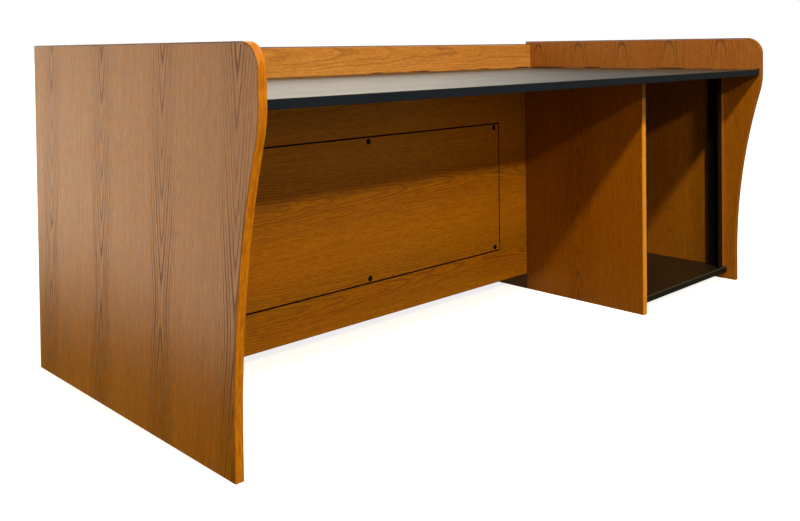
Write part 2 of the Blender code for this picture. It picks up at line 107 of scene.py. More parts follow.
def roundCorners(steps):
    # angles that turn once round, a quarter at each corner of a rectangle, and each corner's two signs
    quarter = np.linspace(0, np.pi / 2, steps + 1)
    angle = (quarter + np.pi / 2 * np.arange(4)[:, None]).ravel()
    return angle, np.repeat([[1, 1], [-1, 1], [-1, -1], [1, -1]], steps + 1, axis=0)


def cappedSweep(name, points, facing, endWays, section, travel, endSections):
    # a closed section carried along a line, with a cap at each end; the grain coordinates are the distance
    # round the section and the distance along the line, and on the caps the section's own plane
    rows, columns = points.shape[:2]
    quads = gridQuads(rows, columns)
    caps = np.stack([np.arange(columns)[::-1], np.arange(columns) + (rows - 1) * columns])
    capWays = np.repeat(endWays, columns, axis=0)
    normals = np.concatenate([facing.reshape(-1, 3)[quads].reshape(-1, 3), capWays])
    girth = np.linalg.norm(np.diff(section, axis=0, append=section[:1]), axis=1)
    around = np.concatenate([[0], np.cumsum(girth)])
    row, column = np.divmod(np.arange(len(quads)), columns)
    across = around[np.stack([column, column + 1, column + 1, column], axis=-1)]
    along = travel[np.stack([row, row, row + 1, row + 1], axis=-1)]
    grain = np.concatenate([together(across, along).reshape(-1, 2), endSections])
    return putPiece(name, points, quads.tolist() + caps.tolist(), normals, grain)


def boxEnds(node):
    # low corner, high corner and middle of a CAD node's box
    low, high = (np.array(corner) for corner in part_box(node))
    return low, high, (low + high) / 2


def boardOf(node, ease, steps=3):
    # each point is a corner of the node's box drawn in by the ease, plus the ease times a direction that
    # turns with longitude round the board's length and with latitude over its ends
    low, high, middle = boxEnds(node)
    length = int(np.argmax(high - low))
    order = [(length + 1) % 3, (length + 2) % 3, length]
    half = (high - low)[order] / 2 - ease
    longitude, sides = roundCorners(steps)
    climb = np.linspace(0, np.pi / 2, steps + 2)[:-1]
    latitude = np.concatenate([-climb[::-1], climb])[:, None]
    ends = np.repeat([-1, 1], steps + 1)[:, None]
    level = np.cos(latitude)
    direction = together(level * np.cos(longitude), level * np.sin(longitude), np.sin(latitude))
    reach = direction * ease
    reach[..., 2] /= np.sin(climb[-1])                     # the flat ends stay at the box's own ends
    local = together(sides[:, 0] * half[0], sides[:, 1] * half[1], ends * half[2]) + reach
    points = np.empty_like(local)
    points[..., order] = local
    facing = np.empty_like(direction)
    facing[..., order] = direction
    endWays = np.zeros((2, 3))
    endWays[:, length] = -1, 1
    endSections = np.concatenate([local[0, ::-1, :2], local[-1, :, :2]])
    points += middle
    section, travel = local[steps, :, :2], local[:, 0, 2]
    return cappedSweep(node + "_board", points, facing, endWays, section, travel, endSections)


# Node helpers

socketKinds = dict.fromkeys(("Color", "Light Wood", "Ring Wood", "Pore Wood", "Dark", "Pale"), "Color")
socketKinds["Place"] = "Vector"


def newGroup(name, inputs, outputs):
    tree = bpy.data.node_groups.new(name, "ShaderNodeTree")
    for side, labels in (("INPUT", inputs), ("OUTPUT", outputs)):
        for label in labels:
            kind = "NodeSocket" + socketKinds.get(label, "Float")
            tree.interface.new_socket(label, in_out=side, socket_type=kind)
    return tree, tree.nodes.new("NodeGroupInput").outputs, tree.nodes.new("NodeGroupOutput").inputs


def feed(socket, value):
    # a socket takes a link, the three parts of a colour, or a plain value
    if isinstance(value, bpy.types.NodeSocket):
        socket.id_data.links.new(value, socket)
    elif isinstance(value, tuple):
        socket.default_value = (*value, 1)
    else:
        socket.default_value = value


def newStep(kind, inputs, output=0, **settings):
    # a node in the same tree as the first linked one of its inputs, which go by name or by number
    tree = next(value.id_data for value in inputs.values() if isinstance(value, bpy.types.NodeSocket))
    step = tree.nodes.new("ShaderNode" + kind)
    for label, setting in settings.items():
        setattr(step, label, setting)
    for label, value in inputs.items():
        feed(step.inputs[label], value)
    return step.outputs[output]


def calc(operation, *values):
    return newStep("Math", dict(enumerate(values)), operation=operation)


def times(first, *others):
    for other in others:
        first = calc("MULTIPLY", first, other)
    return first


def plus(first, *others):
    for other in others:
        first = calc("ADD", first, other)
    return first


def minus(first, second):
    return calc("SUBTRACT", first, second)


def timesPlus(first, second, added):
    return calc("MULTIPLY_ADD", first, second, added)


def ramp(value, start, end, low=0.0, high=1.0):
    # smooth step from low to high while the value goes from start to end
    inputs = {"Value": value, "From Min": start, "From Max": end, "To Min": low, "To Max": high}
    return newStep("MapRange", inputs, "Result", interpolation_type="SMOOTHSTEP")


def fadeOut(value, start, end, high=1.0):
    # smooth step from high down to nothing
    return ramp(value, start, end, high, 0.0)


def blendColours(share, first, second, mode="MIX"):
    return newStep("Mix", {0: share, 6: first, 7: second}, 2, data_type="RGBA", blend_type=mode)


def point(*coordinates):
    return newStep("CombineXYZ", dict(enumerate(coordinates)))


def stretch(places, scales, *rest):
    # each place times its own scale, and the rest as they are, as one point
    return point(*(times(place, scale) for place, scale in zip(places, scales)), *rest)


def noise(place, scale=1.0, detail=2.0, roughness=0.5):
    inputs = {"Vector": place, "Scale": scale, "Detail": detail, "Roughness": roughness}
    return newStep("TexNoise", inputs, "Fac")


def waver(place, detail=2.0):
    # noise that goes to either side of nought
    return minus(noise(place, detail=detail), 0.5)


def chance(number):
    # a value from 0 to 1 for each number, in no order
    return newStep("TexWhiteNoise", {"W": number}, "Value", noise_dimensions="1D")


def splitUp(place):
    return newStep("SeparateXYZ", {0: place}).node.outputs


# Effects that several finishes share

grainLook = dict(
    swell=(9.0, 5.0, 0.35), sway=(2.2, 0.31), swayLevel=7.3, ripple=(170.0, 14.0), patches=(3.5, 4.7),
    pores=(900.0, 45.0, 900.0), streaks=(110.0, 6.0, 5.1), flecks=(220.0, 42.0, 2.3),
    warmth=(13.0, 0.9, 3.7), leafTones=1.37, midRounding=0.0016, raggedShare=0.14, raggedMost=0.0012,
    yearScale=0.45, yearSpread=0.7, yearContrast=0.5, lineRise=0.08, lineHold=0.10, tipReach=0.12,
    tipStrength=0.60, fade=(0.5, 2.0), fadedStrength=0.22, heartReach=1.8, patchSpan=(0.32, 0.50),
    patchStrength=0.80, poreSpan=(0.52, 0.70), earlyPores=0.6, streakShare=0.5)


def growthRings(look):
    # flat-cut wood: a leaf is a slice at some depth beside the tree's heart and the rings are cones round
    # it, so a ring is where the Power root of across^Power + depth^Power, less Slope times the distance
    # from Mid along the grain, passes a whole number of ring gaps; arches point up below Mid and down above
    # it, with square shoulders where Power is over 2
    tree, given, result = newGroup(
        "growth rings",
        ("Place", "Leaf Width", "Leaf Offset", "Ring Gap", "Depth", "Leaf Step", "Slope", "Mid", "Wander",
         "Heart Width", "Line Width", "Power"),
        ("Rings", "Pores", "Streaks", "Leaf Tone", "Heart", "Warmth"))
    wide, along, thick = splitUp(given["Place"])
    leaves = plus(calc("DIVIDE", wide, given["Leaf Width"]), given["Leaf Offset"])
    leaf = calc("FLOOR", leaves)
    across = times(minus(calc("FRACT", leaves), 0.5), given["Leaf Width"])
    slow = stretch((across, along, leaf), look["swell"])
    swell = times(waver(slow), given["Wander"])
    drift = stretch((along, leaf), look["sway"], look["swayLevel"])
    sway = times(waver(drift, detail=1.0), given["Wander"])
    away = minus(along, given["Mid"])
    fall = calc("SQRT", timesPlus(away, away, look["midRounding"]))
    cone = minus(swell, times(fall, given["Slope"]))
    depth = timesPlus(leaf, given["Leaf Step"], given["Depth"])
    side = calc("ABSOLUTE", plus(across, sway))
    raisedSide = calc("POWER", side, given["Power"])
    raisedDepth = calc("POWER", depth, given["Power"])
    root = calc("DIVIDE", 1.0, given["Power"])
    fromHeart = calc("POWER", plus(raisedSide, raisedDepth), root)
    quick = stretch((wide, along), look["ripple"], leaf)
    ragged = calc("MINIMUM", times(given["Wander"], look["raggedShare"]), look["raggedMost"])
    ripple = times(waver(quick), ragged)
    count = calc("DIVIDE", plus(fromHeart, cone, ripple), given["Ring Gap"])
    uneven = noise(point(count, 0.0, 0.0), look["yearScale"], detail=1.0)
    years = timesPlus(uneven, look["yearSpread"], count)
    year = calc("FRACT", years)
    lineEnd = plus(given["Line Width"], look["lineHold"])
    thinned = fadeOut(year, look["lineHold"], lineEnd)
    early = times(ramp(year, 0.0, look["lineRise"]), thinned)
    growth = chance(calc("FLOOR", years))
    offHeart = calc("DIVIDE", side, given["Heart Width"])
    tipped = ramp(offHeart, 0.0, look["tipReach"], look["tipStrength"], 1.0)
    faded = times(ramp(offHeart, *look["fade"], 1.0, look["fadedStrength"]), tipped)
    strength = times(faded, timesPlus(growth, look["yearContrast"], 1.0 - look["yearContrast"]))
    patches = stretch((along, leaf), look["patches"], across)
    shown = ramp(noise(patches, detail=1.0), *look["patchSpan"], look["patchStrength"], 1.0)
    feed(result["Rings"], times(early, strength, shown))
    feed(result["Heart"], fadeOut(offHeart, 0.0, look["heartReach"]))
    fine = stretch((wide, along, thick), look["pores"])
    dashes = ramp(noise(fine, detail=1.0), *look["poreSpan"])
    crowded = timesPlus(early, look["earlyPores"], 1.0 - look["earlyPores"])
    feed(result["Pores"], times(dashes, crowded))
    broad = noise(stretch((wide, along, leaf), look["streaks"]), detail=4.0, roughness=0.72)
    short = noise(stretch((wide, along, leaf), look["flecks"]), detail=2.0, roughness=0.6)
    flecks = times(short, 1.0 - look["streakShare"])
    feed(result["Streaks"], timesPlus(broad, look["streakShare"], flecks))
    feed(result["Warmth"], waver(stretch((wide, along, leaf), look["warmth"])))
    feed(result["Leaf Tone"], chance(times(leaf, look["leafTones"])))
    return tree


tintLook = dict(streakSpan=(0.36, 0.64), streakShare=0.75, poreShare=0.45, redSwing=0.16, greenSwing=-0.12,
                lineDulling=0.34, streakDulling=0.08, poreBare=0.4, streakBare=0.14, ringSink=0.25)


def oakTint(look):
    # light wood darkens in streaks, along the heart, in the early wood of each ring and in its pores, and
    # from leaf to leaf; lacquer lies full between the rings and sinks away in them
    tree, given, result = newGroup(
        "oak tint",
        ("Rings", "Pores", "Streaks", "Leaf Tone", "Heart", "Warmth", "Light Wood", "Ring Wood",
         "Pore Wood", "Ring Strength", "Heart Strength", "Leaf Contrast", "Gloss", "Lacquer"),
        ("Color", "Roughness", "Coat", "Height"))
    streaked = times(ramp(given["Streaks"], *look["streakSpan"]), look["streakShare"])
    shaded = timesPlus(given["Heart"], given["Heart Strength"], streaked)
    body = blendColours(shaded, given["Light Wood"], given["Ring Wood"])
    lined = times(given["Rings"], given["Ring Strength"])
    ringed = blendColours(lined, body, given["Pore Wood"])
    pored = blendColours(times(given["Pores"], look["poreShare"]), ringed, given["Pore Wood"])
    swing = times(minus(given["Leaf Tone"], 0.5), given["Leaf Contrast"])
    level = plus(swing, 1.0)
    redder = times(timesPlus(given["Warmth"], look["redSwing"], 1.0), level)
    greener = times(timesPlus(given["Warmth"], look["greenSwing"], 1.0), level)
    toned = blendColours(1.0, pored, point(redder, greener, greener), "MULTIPLY")
    feed(result["Color"], toned)
    lines = calc("MAXIMUM", given["Pores"], given["Rings"])
    dull = timesPlus(lines, look["lineDulling"], given["Gloss"])
    feed(result["Roughness"], timesPlus(given["Streaks"], look["streakDulling"], dull))
    bare = calc("MAXIMUM", times(given["Pores"], look["poreBare"]), given["Rings"])
    kept = minus(1.0, timesPlus(streaked, look["streakBare"], bare))
    feed(result["Coat"], times(given["Lacquer"], calc("MAXIMUM", kept, 0.0)))
    sunk = timesPlus(given["Rings"], look["ringSink"], given["Pores"])
    feed(result["Height"], times(sunk, -1.0))
    return tree


speckleLook = dict(pebbleSpan=(0.35, 0.75), cloudSpan=(0.3, 0.75), pebbleShare=0.5)


def fineSpeckle(look):
    # two sizes of noise: a pebble that gives height and a cloud that dulls the surface in patches
    tree, given, result = newGroup(
        "fine speckle", ("Place", "Pebble Scale", "Cloud Scale", "Dark", "Pale", "Gloss", "Dullness"),
        ("Color", "Roughness", "Height"))
    pebble = noise(given["Place"], given["Pebble Scale"])
    cloud = noise(given["Place"], given["Cloud Scale"], detail=4.0, roughness=0.6)
    clouded = times(cloud, 1.0 - look["pebbleShare"])
    mixed = timesPlus(ramp(pebble, *look["pebbleSpan"]), look["pebbleShare"], clouded)
    feed(result["Color"], blendColours(mixed, given["Dark"], given["Pale"]))
    feed(result["Roughness"], ramp(cloud, *look["cloudSpan"], given["Gloss"], given["Dullness"]))
    feed(result["Height"], pebble)
    return tree


scuffLook = dict(stretch=(14.0, 14.0, 90.0), span=(0.52, 0.72), reach=0.07, share=0.35, dulling=0.2,
                 colour=(0.30, 0.22, 0.15))


def floorScuffs(look):
    # grey rubs that thicken towards the floor, stretched sideways as shoes and mops leave them
    tree, given, result = newGroup("floor scuffs", ("Place", "Reach"), ("Mask",))
    parts = splitUp(given["Place"])
    near = fadeOut(parts[2], 0.0, given["Reach"])
    smeared = noise(stretch(parts, look["stretch"]), detail=5.0, roughness=0.65)
    feed(result["Mask"], times(near, ramp(smeared, *look["span"])))
    return tree


rings = growthRings(grainLook)
tint = oakTint(tintLook)
speckle = fineSpeckle(speckleLook)
scuffs = floorScuffs(scuffLook)
print("shared finishes ready:", ", ".join(group.name for group in (rings, tint, speckle, scuffs)))

# Finishes


def newFinish(name, specular):
    material = bpy.data.materials.new(name)
    material.use_nodes = True
    shader = material.node_tree.nodes["Principled BSDF"]
    shader.inputs["Specular IOR Level"].default_value = specular
    return material, shader


def objectPlace(shader):
    return shader.id_data.nodes.new("ShaderNodeTexCoord").outputs["Object"]


def ownGrain(shader):
    # the piece's own coordinates, across its grain and along it
    follow = shader.id_data.nodes.new("ShaderNodeUVMap")
    follow.uv_map = "grain"
    return follow.outputs["UV"]


def useGroup(group, linked=(), **values):
    # linked sockets go to the inputs of their own names, and leafWidth goes to the input Leaf Width
    inputs = {socket.name: socket for socket in linked}
    for label, value in values.items():
        words = "".join(" " + letter if letter.isupper() else letter for letter in label)
        inputs[words[0].upper() + words[1:]] = value
    return newStep("Group", inputs, node_tree=group).node.outputs


def lift(shader, height, distance, strength):
    bumped = newStep("Bump", dict(Height=height, Distance=distance, Strength=strength))
    feed(shader.inputs["Normal"], bumped)


def grainPlace(place, across, along, lean):
    # object coordinates turned so that x runs across the grain and y along it, with the grain leaning
    # a little
    facing = np.zeros((3, 3))
    facing[[0, 1, 2], [across, along, 3 - across - along]] = 1
    if np.linalg.det(facing) < 0:
        facing[2] *= -1
    tilt = np.array([[math.cos(lean), math.sin(lean), 0], [-math.sin(lean), math.cos(lean), 0], [0, 0, 1]])
    return newStep("Mapping", dict(Vector=place, Rotation=Matrix((tilt @ facing).tolist()).to_euler()))


woodBump = dict(distance=0.00012, strength=0.6)


def oakFinish(shader, grain, place, figure, colours):
    grown = useGroup(rings, place=grain, **figure)
    stained = useGroup(tint, grown, **colours)
    rubbed = useGroup(scuffs, place=place, reach=scuffLook["reach"])["Mask"]
    share = times(rubbed, scuffLook["share"])
    feed(shader.inputs["Base Color"], blendColours(share, stained["Color"], scuffLook["colour"]))
    feed(shader.inputs["Roughness"], timesPlus(rubbed, scuffLook["dulling"], stained["Roughness"]))
    if colours["lacquer"]:
        feed(shader.inputs["Coat Weight"], stained["Coat"])
        shader.inputs["Coat Roughness"].default_value = colours["gloss"]
    lift(shader, stained["Height"], **woodBump)


def overlay(shader, share, colour, mode="MIX"):
    plain = shader.inputs["Base Color"].links[0].from_socket
    feed(shader.inputs["Base Color"], blendColours(share, plain, colour, mode))


worktopJoint = dict(foot=(0.7070, 0.7095), top=(0.7110, 0.7135), breaks=6.0, breakSpan=(0.51, 0.62),
                    edge=0.001, colour=(0.025, 0.008, 0.004), shelter=(0.672, 0.690))


def openJoint(shader, place, look, axis, limit, shadeTint=None):
    # a dark line that comes and goes where the worktop's rear or end meets the inside of a board; the wood
    # below the worktop's height may be tinted yellower, as painted shade
    parts = splitUp(place)
    line = times(ramp(parts[2], *look["foot"]), fadeOut(parts[2], *look["top"]))
    broken = ramp(noise(place, look["breaks"], detail=1.0), *look["breakSpan"])
    inside = fadeOut(parts[axis], limit, limit + look["edge"])
    overlay(shader, times(line, broken, inside), look["colour"])
    # painted shade: the wood below the worktop's height is tinted yellower
    if shadeTint:
        under = times(fadeOut(parts[2], *look["shelter"]), inside)
        overlay(shader, under, shadeTint, "MULTIPLY")


veneerColours = dict(lightWood=(0.52, 0.170, 0.008), ringWood=(0.33, 0.096, 0.004),
                     poreWood=(0.17, 0.046, 0.003), ringStrength=0.85, heartStrength=0.35,
                     leafContrast=0.10, gloss=0.28, lacquer=0.0)
veneerFigure = dict(leafWidth=0.267, leafOffset=0.122, ringGap=0.0095, depth=0.005, leafStep=0.0004,
                    slope=0.11, mid=0.28, wander=0.010, heartWidth=0.034, lineWidth=0.42, power=2.0)


def veneer(name, run, colours, figure, specular=0.4, lean=0.0, clearing=None, joint=None, stain=None):
    # run gives the axes across and along the grain; clearing (two heights and a strength) thins the rings
    # towards the floor, joint (an axis, its limit and a colour) draws the line where the worktop meets the
    # board and may tint the wood below the worktop with that colour as painted shade, and the cavity's
    # painted shade (two depths and a colour) darkens what lies in the cable cavity
    material, shader = newFinish(name, specular)
    place = objectPlace(shader)
    colours = {**veneerColours, **colours}
    if clearing:
        start, end, least = clearing
        height = splitUp(place)[2]
        colours["ringStrength"] = ramp(height, start, end, least, colours["ringStrength"])
    oakFinish(shader, grainPlace(place, *run, lean), place, {**veneerFigure, **figure}, colours)
    if joint:
        openJoint(shader, place, worktopJoint, *joint)
    # painted shade: the board behind the inner panel, in the cable cavity, is darkened
    if stain:
        start, end, colour = stain
        overlay(shader, ramp(splitUp(place)[1], start, end), colour)
    return material


upright = (1, 2)
lying = (2, 0)
leftOak = veneer(
    "left panel oak", upright, specular=0.02, lean=0.051, figure=dict(leafOffset=0.935),
    colours=dict(lightWood=(0.76, 0.278, 0.007), ringWood=(0.51, 0.168, 0.003),
                 poreWood=(0.17, 0.050, 0.003), ringStrength=1.0, heartStrength=0.32, gloss=0.15,
                 lacquer=0.70))
# the right panel's yellower tint below the worktop is painted shade
rightOak = veneer(
    "right panel oak", upright, clearing=(0.62, 0.70, 0.25), joint=(0, 0.985, (1.0, 0.97, 0.22)),
    figure=dict(leafWidth=0.191, leafOffset=0.304, ringGap=0.0063, depth=0.0316, leafStep=0.0002,
                slope=0.066, mid=1.2, wander=0.002, lineWidth=0.16, power=3.0),
    colours=dict(lightWood=(0.41, 0.150, 0.030), ringWood=(0.28, 0.091, 0.015),
                 poreWood=(0.04, 0.011, 0.003), ringStrength=1.0, heartStrength=0.0))
# the divider's darkening in the cable cavity is painted shade
dividerOak = veneer(
    "divider oak", upright, specular=0.22, stain=(0.046, 0.050, (0.10, 0.030, 0.003)),
    figure=dict(leafWidth=0.56, leafOffset=0.777, ringGap=0.0070, depth=0.012, slope=0.09, mid=0.62,
                wander=0.02, heartWidth=0.05),
    colours=dict(lightWood=(0.395, 0.127, 0.002), ringWood=(0.26, 0.077, 0.001),
                 poreWood=(0.11, 0.028, 0.002), ringStrength=0.75, heartStrength=0.2))
innerOak = veneer(
    "inner panel oak", lying,
    figure=dict(leafOffset=0.0, ringGap=0.0060, depth=0.020, slope=0.04, mid=0.15, wander=0.024,
                heartWidth=0.06),
    colours=dict(lightWood=(0.620, 0.236, 0.004), ringWood=(0.39, 0.136, 0.002),
                 poreWood=(0.18, 0.054, 0.002), ringStrength=0.70))
rearOak = veneer(
    "rear panel oak", lying, joint=(1, 0.467),
    figure=dict(leafWidth=0.27, leafOffset=0.61, ringGap=0.0050, depth=0.090, slope=0.02, mid=0.85,
                wander=0.009, heartWidth=0.06),
    colours=dict(lightWood=(0.61, 0.285, 0.077), ringWood=(0.43, 0.177, 0.035), ringStrength=0.42))

bandLook = dict(specular=0.36, ringStrength=0.3, topDepth=(-0.44, -0.41), topHeight=(0.796, 0.800),
                topShadeColour=(0.16, 0.055, 0.010), endShadeColour=(0.20, 0.075, 0.010))
bandFigure = dict(leafWidth=2.0, leafOffset=0.5, ringGap=0.0045, depth=0.03, leafStep=0.0, slope=0.010,
                  mid=0.0, wander=0.012, heartWidth=1.0, lineWidth=0.40, power=2.0)


def bandOak(name, lightWood, ringWood, dullEnd=None):
    # solid edge band: the grain follows the band, so it reads the band's own coordinates; the run along the
    # top of a panel is darker, as painted shade, and so is an upper end given by two heights and a share,
    # as painted shade under the worktop
    material, shader = newFinish(name, bandLook["specular"])
    place = objectPlace(shader)
    parts = splitUp(place)
    colours = dict(veneerColours, lightWood=lightWood, ringWood=ringWood, heartStrength=0.0,
                   ringStrength=bandLook["ringStrength"])
    oakFinish(shader, ownGrain(shader), place, bandFigure, colours)
    # painted shade: the band's run along the top of a panel is darkened
    atTop = ramp(parts[2], *bandLook["topHeight"])
    paintedTopShade = times(ramp(parts[1], *bandLook["topDepth"]), atTop)
    overlay(shader, paintedTopShade, bandLook["topShadeColour"])
    # painted shade: the band's upper end, where given, is darkened under the worktop
    if dullEnd:
        start, end, share = dullEnd
        overlay(shader, times(ramp(parts[2], start, end), share), bandLook["endShadeColour"])
    return material


amberBand = bandOak("edge band oak", (0.60, 0.215, 0.004), (0.27, 0.080, 0.002))
darkBand = bandOak("dark band oak", (0.35, 0.120, 0.012), (0.22, 0.068, 0.006))
# a lighter copy of the band oak for the divider's edging: partly lighter wood, partly painted light for the
# lamp light on that edge
paleBand = bandOak("pale band oak", (0.80, 0.345, 0.036), (0.58, 0.220, 0.018),
                   dullEnd=(0.565, 0.600, 0.75))

sawnLook = dict(specular=0.3, pale=(0.60, 0.40, 0.20), ring=(0.42, 0.23, 0.09), streak=(0.36, 0.22, 0.11),
                ringShare=0.6, streakShare=0.35, roughness=0.62, streakDulling=0.2, sawMarks=(25.0, 650.0),
                markDepth=0.0003)
sawnFigure = dict(leafWidth=3.0, leafOffset=0.5, ringGap=0.0055, depth=0.04, leafStep=0.0, slope=0.02,
                  mid=0.0, wander=0.02, heartWidth=1.0, lineWidth=0.45, power=2.0)


def sawnWood(name, look, figure):
    # bare softwood: wide pale rings along the piece, and the saw's marks across it
    material, shader = newFinish(name, look["specular"])
    grain = ownGrain(shader)
    grown = useGroup(rings, place=grain, **figure)
    ringed = blendColours(times(grown["Rings"], look["ringShare"]), look["pale"], look["ring"])
    streaks = times(grown["Streaks"], look["streakShare"])
    feed(shader.inputs["Base Color"], blendColours(streaks, ringed, look["streak"]))
    feed(shader.inputs["Roughness"], timesPlus(grown["Streaks"], look["streakDulling"], look["roughness"]))
    marks = stretch(splitUp(grain), look["sawMarks"], 0.0)
    lift(shader, noise(marks), look["markDepth"], strength=0.5)
    return material


def speckled(name, specular, bumpDepth, rubbed=None, **values):
    # two heights and a colour: between the heights the finish turns to that colour, a painted highlight on
    # the nosing
    material, shader = newFinish(name, specular)
    place = objectPlace(shader)
    made = useGroup(speckle, place=place, **values)
    feed(shader.inputs["Base Color"], made["Color"])
    feed(shader.inputs["Roughness"], made["Roughness"])
    if rubbed:
        start, end, colour = rubbed
        overlay(shader, ramp(splitUp(place)[2], start, end), colour)
    lift(shader, made["Height"], bumpDepth, strength=0.5)
    return material


cleatWood = sawnWood("sawn cleat wood", sawnLook, sawnFigure)
blackLaminate = speckled(
    "black laminate", specular=0.5, bumpDepth=0.00006, pebbleScale=900.0, cloudScale=7.0, gloss=0.39,
    dullness=0.43, dark=(0.014, 0.014, 0.015), pale=(0.030, 0.030, 0.032))
shelfLaminate = speckled(
    "shelf laminate", specular=0.22, bumpDepth=0.00006, pebbleScale=900.0, cloudScale=7.0, gloss=0.42,
    dullness=0.52, dark=(0.013, 0.008, 0.004), pale=(0.026, 0.016, 0.008))
charcoalBand = speckled(
    "charcoal band", specular=0.14, bumpDepth=0.00005, pebbleScale=1400.0, cloudScale=11.0, gloss=0.42,
    dullness=0.55, dark=(0.0038, 0.0070, 0.018), pale=(0.0078, 0.0140, 0.036))
# painted highlight: a pale strip along the top edge of the shelf nosing
nosingBlack = speckled(
    "shelf nosing", specular=0.24, bumpDepth=0.00005, pebbleScale=1400.0, cloudScale=11.0, gloss=0.38,
    dullness=0.50, dark=(0.0020, 0.0030, 0.006), pale=(0.0044, 0.0066, 0.012),
    rubbed=(0.0388, 0.0404, (0.040, 0.041, 0.045)))
paintedBlack = speckled(
    "black painted wood", specular=0.25, bumpDepth=0.0001, pebbleScale=500.0, cloudScale=14.0, gloss=0.45,
    dullness=0.65, dark=(0.003, 0.003, 0.003), pale=(0.008, 0.007, 0.006))
# dark edges for the access cover and its opening: partly a sealed board edge, partly painted shade that
# darkens the reveal between them
sealedEdgeWithShade = speckled(
    "dark sealed board edge with painted shade", specular=0.2, bumpDepth=0.0001, pebbleScale=700.0, cloudScale=25.0,
    gloss=0.55, dullness=0.75, dark=(0.010, 0.004, 0.002), pale=(0.024, 0.009, 0.004))
powderBlack = speckled(
    "black powder coat", specular=0.20, bumpDepth=0.00009, pebbleScale=1100.0, cloudScale=18.0, gloss=0.38,
    dullness=0.52, dark=(0.002, 0.002, 0.003), pale=(0.006, 0.006, 0.007))
blackenedSteel = speckled(
    "blackened steel", specular=0.2, bumpDepth=0.00002, pebbleScale=2600.0, cloudScale=160.0, gloss=0.40,
    dullness=0.60, dark=(0.002, 0.002, 0.003), pale=(0.007, 0.007, 0.009))
print("finishes ready:", len(bpy.data.materials))

# End panels and their bent bands

endPanel = dict(edging=0.003, glueLine=0.0003, footOverhang=0.091, curveStart=0.087, bendHeight=0.7005,
                bendRadius=0.225, cornerRadius=0.052, outerEase=0.0013, innerEase=0.00015, hollowPoints=49,
                bendPoints=16, cornerPoints=21, easeSteps=4)


def frontLine(front, top, inset, values):
    # points and outward directions up a panel's front: a straight foot, a wide hollow arc, a tighter round
    # bend that meets it at the same lean, then the quarter circle of the top corner
    overhang, start, height = values["footOverhang"], values["curveStart"], values["bendHeight"]
    bend, corner = values["bendRadius"], values["cornerRadius"]
    counts = [values["hollowPoints"], values["bendPoints"], values["cornerPoints"]]
    rise = height - start
    bothRadii = (overhang ** 2 + rise ** 2) / (2 * overhang)
    hollow = bothRadii - bend
    lean = math.atan2(rise, bothRadii - overhang)
    foot = front + overhang
    angle = np.concatenate([
        np.linspace(0, lean, counts[0]),
        np.linspace(math.pi + lean, math.pi, counts[1] + 1)[1:],
        np.linspace(math.pi, math.pi / 2, counts[2]),
    ])
    way = np.repeat([-1.0, 1.0, 1.0], counts)
    radius = np.repeat([hollow, bend, corner], counts) - way * inset
    centres = [[foot - hollow, start], [front + bend, height], [front + corner, top - corner]]
    heading = together(np.cos(angle), np.sin(angle))
    points = np.repeat(centres, counts, axis=0) + radius[:, None] * heading
    return np.vstack([[foot + inset, 0.0], points]), np.vstack([[-1.0, 0.0], heading * way[:, None]])


def panelCore(name, node, values):
    # a flat rectangle carried up the panel, its front edge on the front line drawn in by the band
    low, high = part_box(node)
    inset = values["edging"] + values["glueLine"]
    line = frontLine(low.y - inset, high.z + inset, inset, values)[0]
    sides = np.array([[low.x, 0], [high.x, 0], [high.x, 1], [low.x, 1]])
    depth = line[:, :1] + (high.y - line[:, :1]) * sides[:, 1]
    points = together(sides[:, 0], depth, line[:, 1:])
    caps = [[3, 2, 1, 0], (np.arange(4) + 4 * (len(line) - 1)).tolist()]
    return putPiece(name, points, gridQuads(len(line), 4).tolist() + caps)


def bentBand(name, node, values):
    # the band's rectangle, rounded on its two outer arrises, carried along the front line and the top edge
    low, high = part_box(node)
    line, outward = frontLine(low.y, high.z, 0.0, values)
    line = np.vstack([line, [[high.y, high.z]]])
    outward = np.vstack([outward, [[0.0, 1.0]]])[:, None]
    angle, signs = roundCorners(values["easeSteps"])
    ease = np.array([values["outerEase"]] * 2 + [values["innerEase"]] * 2).repeat(len(angle) // 4)[:, None]
    half = np.array([(high.x - low.x) / 2, values["edging"] / 2])
    heading = together(np.cos(angle), np.sin(angle))
    section = (signs * (half - ease) + ease * heading)[::-1]
    heading = heading[::-1]
    flat = line[:, None] + (section[:, 1:] - half[1]) * outward
    points = together(section[:, 0] + (low.x + high.x) / 2, flat[..., 0], flat[..., 1])
    turned = heading[:, 1:] * outward
    facing = together(heading[:, 0], turned[..., 0], turned[..., 1])
    travel = np.concatenate([[0], np.cumsum(np.linalg.norm(np.diff(line, axis=0), axis=1))])
    endWays = [[0, 0, -1.0], [0, 1.0, 0]]
    return cappedSweep(name, points, facing, endWays, section, travel, np.tile(section, (2, 1)))


for side, oak, bandFinish in (("left", leftOak, amberBand), ("right", rightOak, darkBand)):
    core = panelCore(side + "_panel_core", side + "_end_panel", endPanel)
    dress(core, oak, "oak_face", "case", side + "_end_panel")
    band = bentBand(side + "_bent_band", side + "_front_edging", endPanel)
    dress(band, bandFinish, "oak_edge", "case", side + "_front_edging")
print("end panels and bent bands built")

# Straight boards and bands

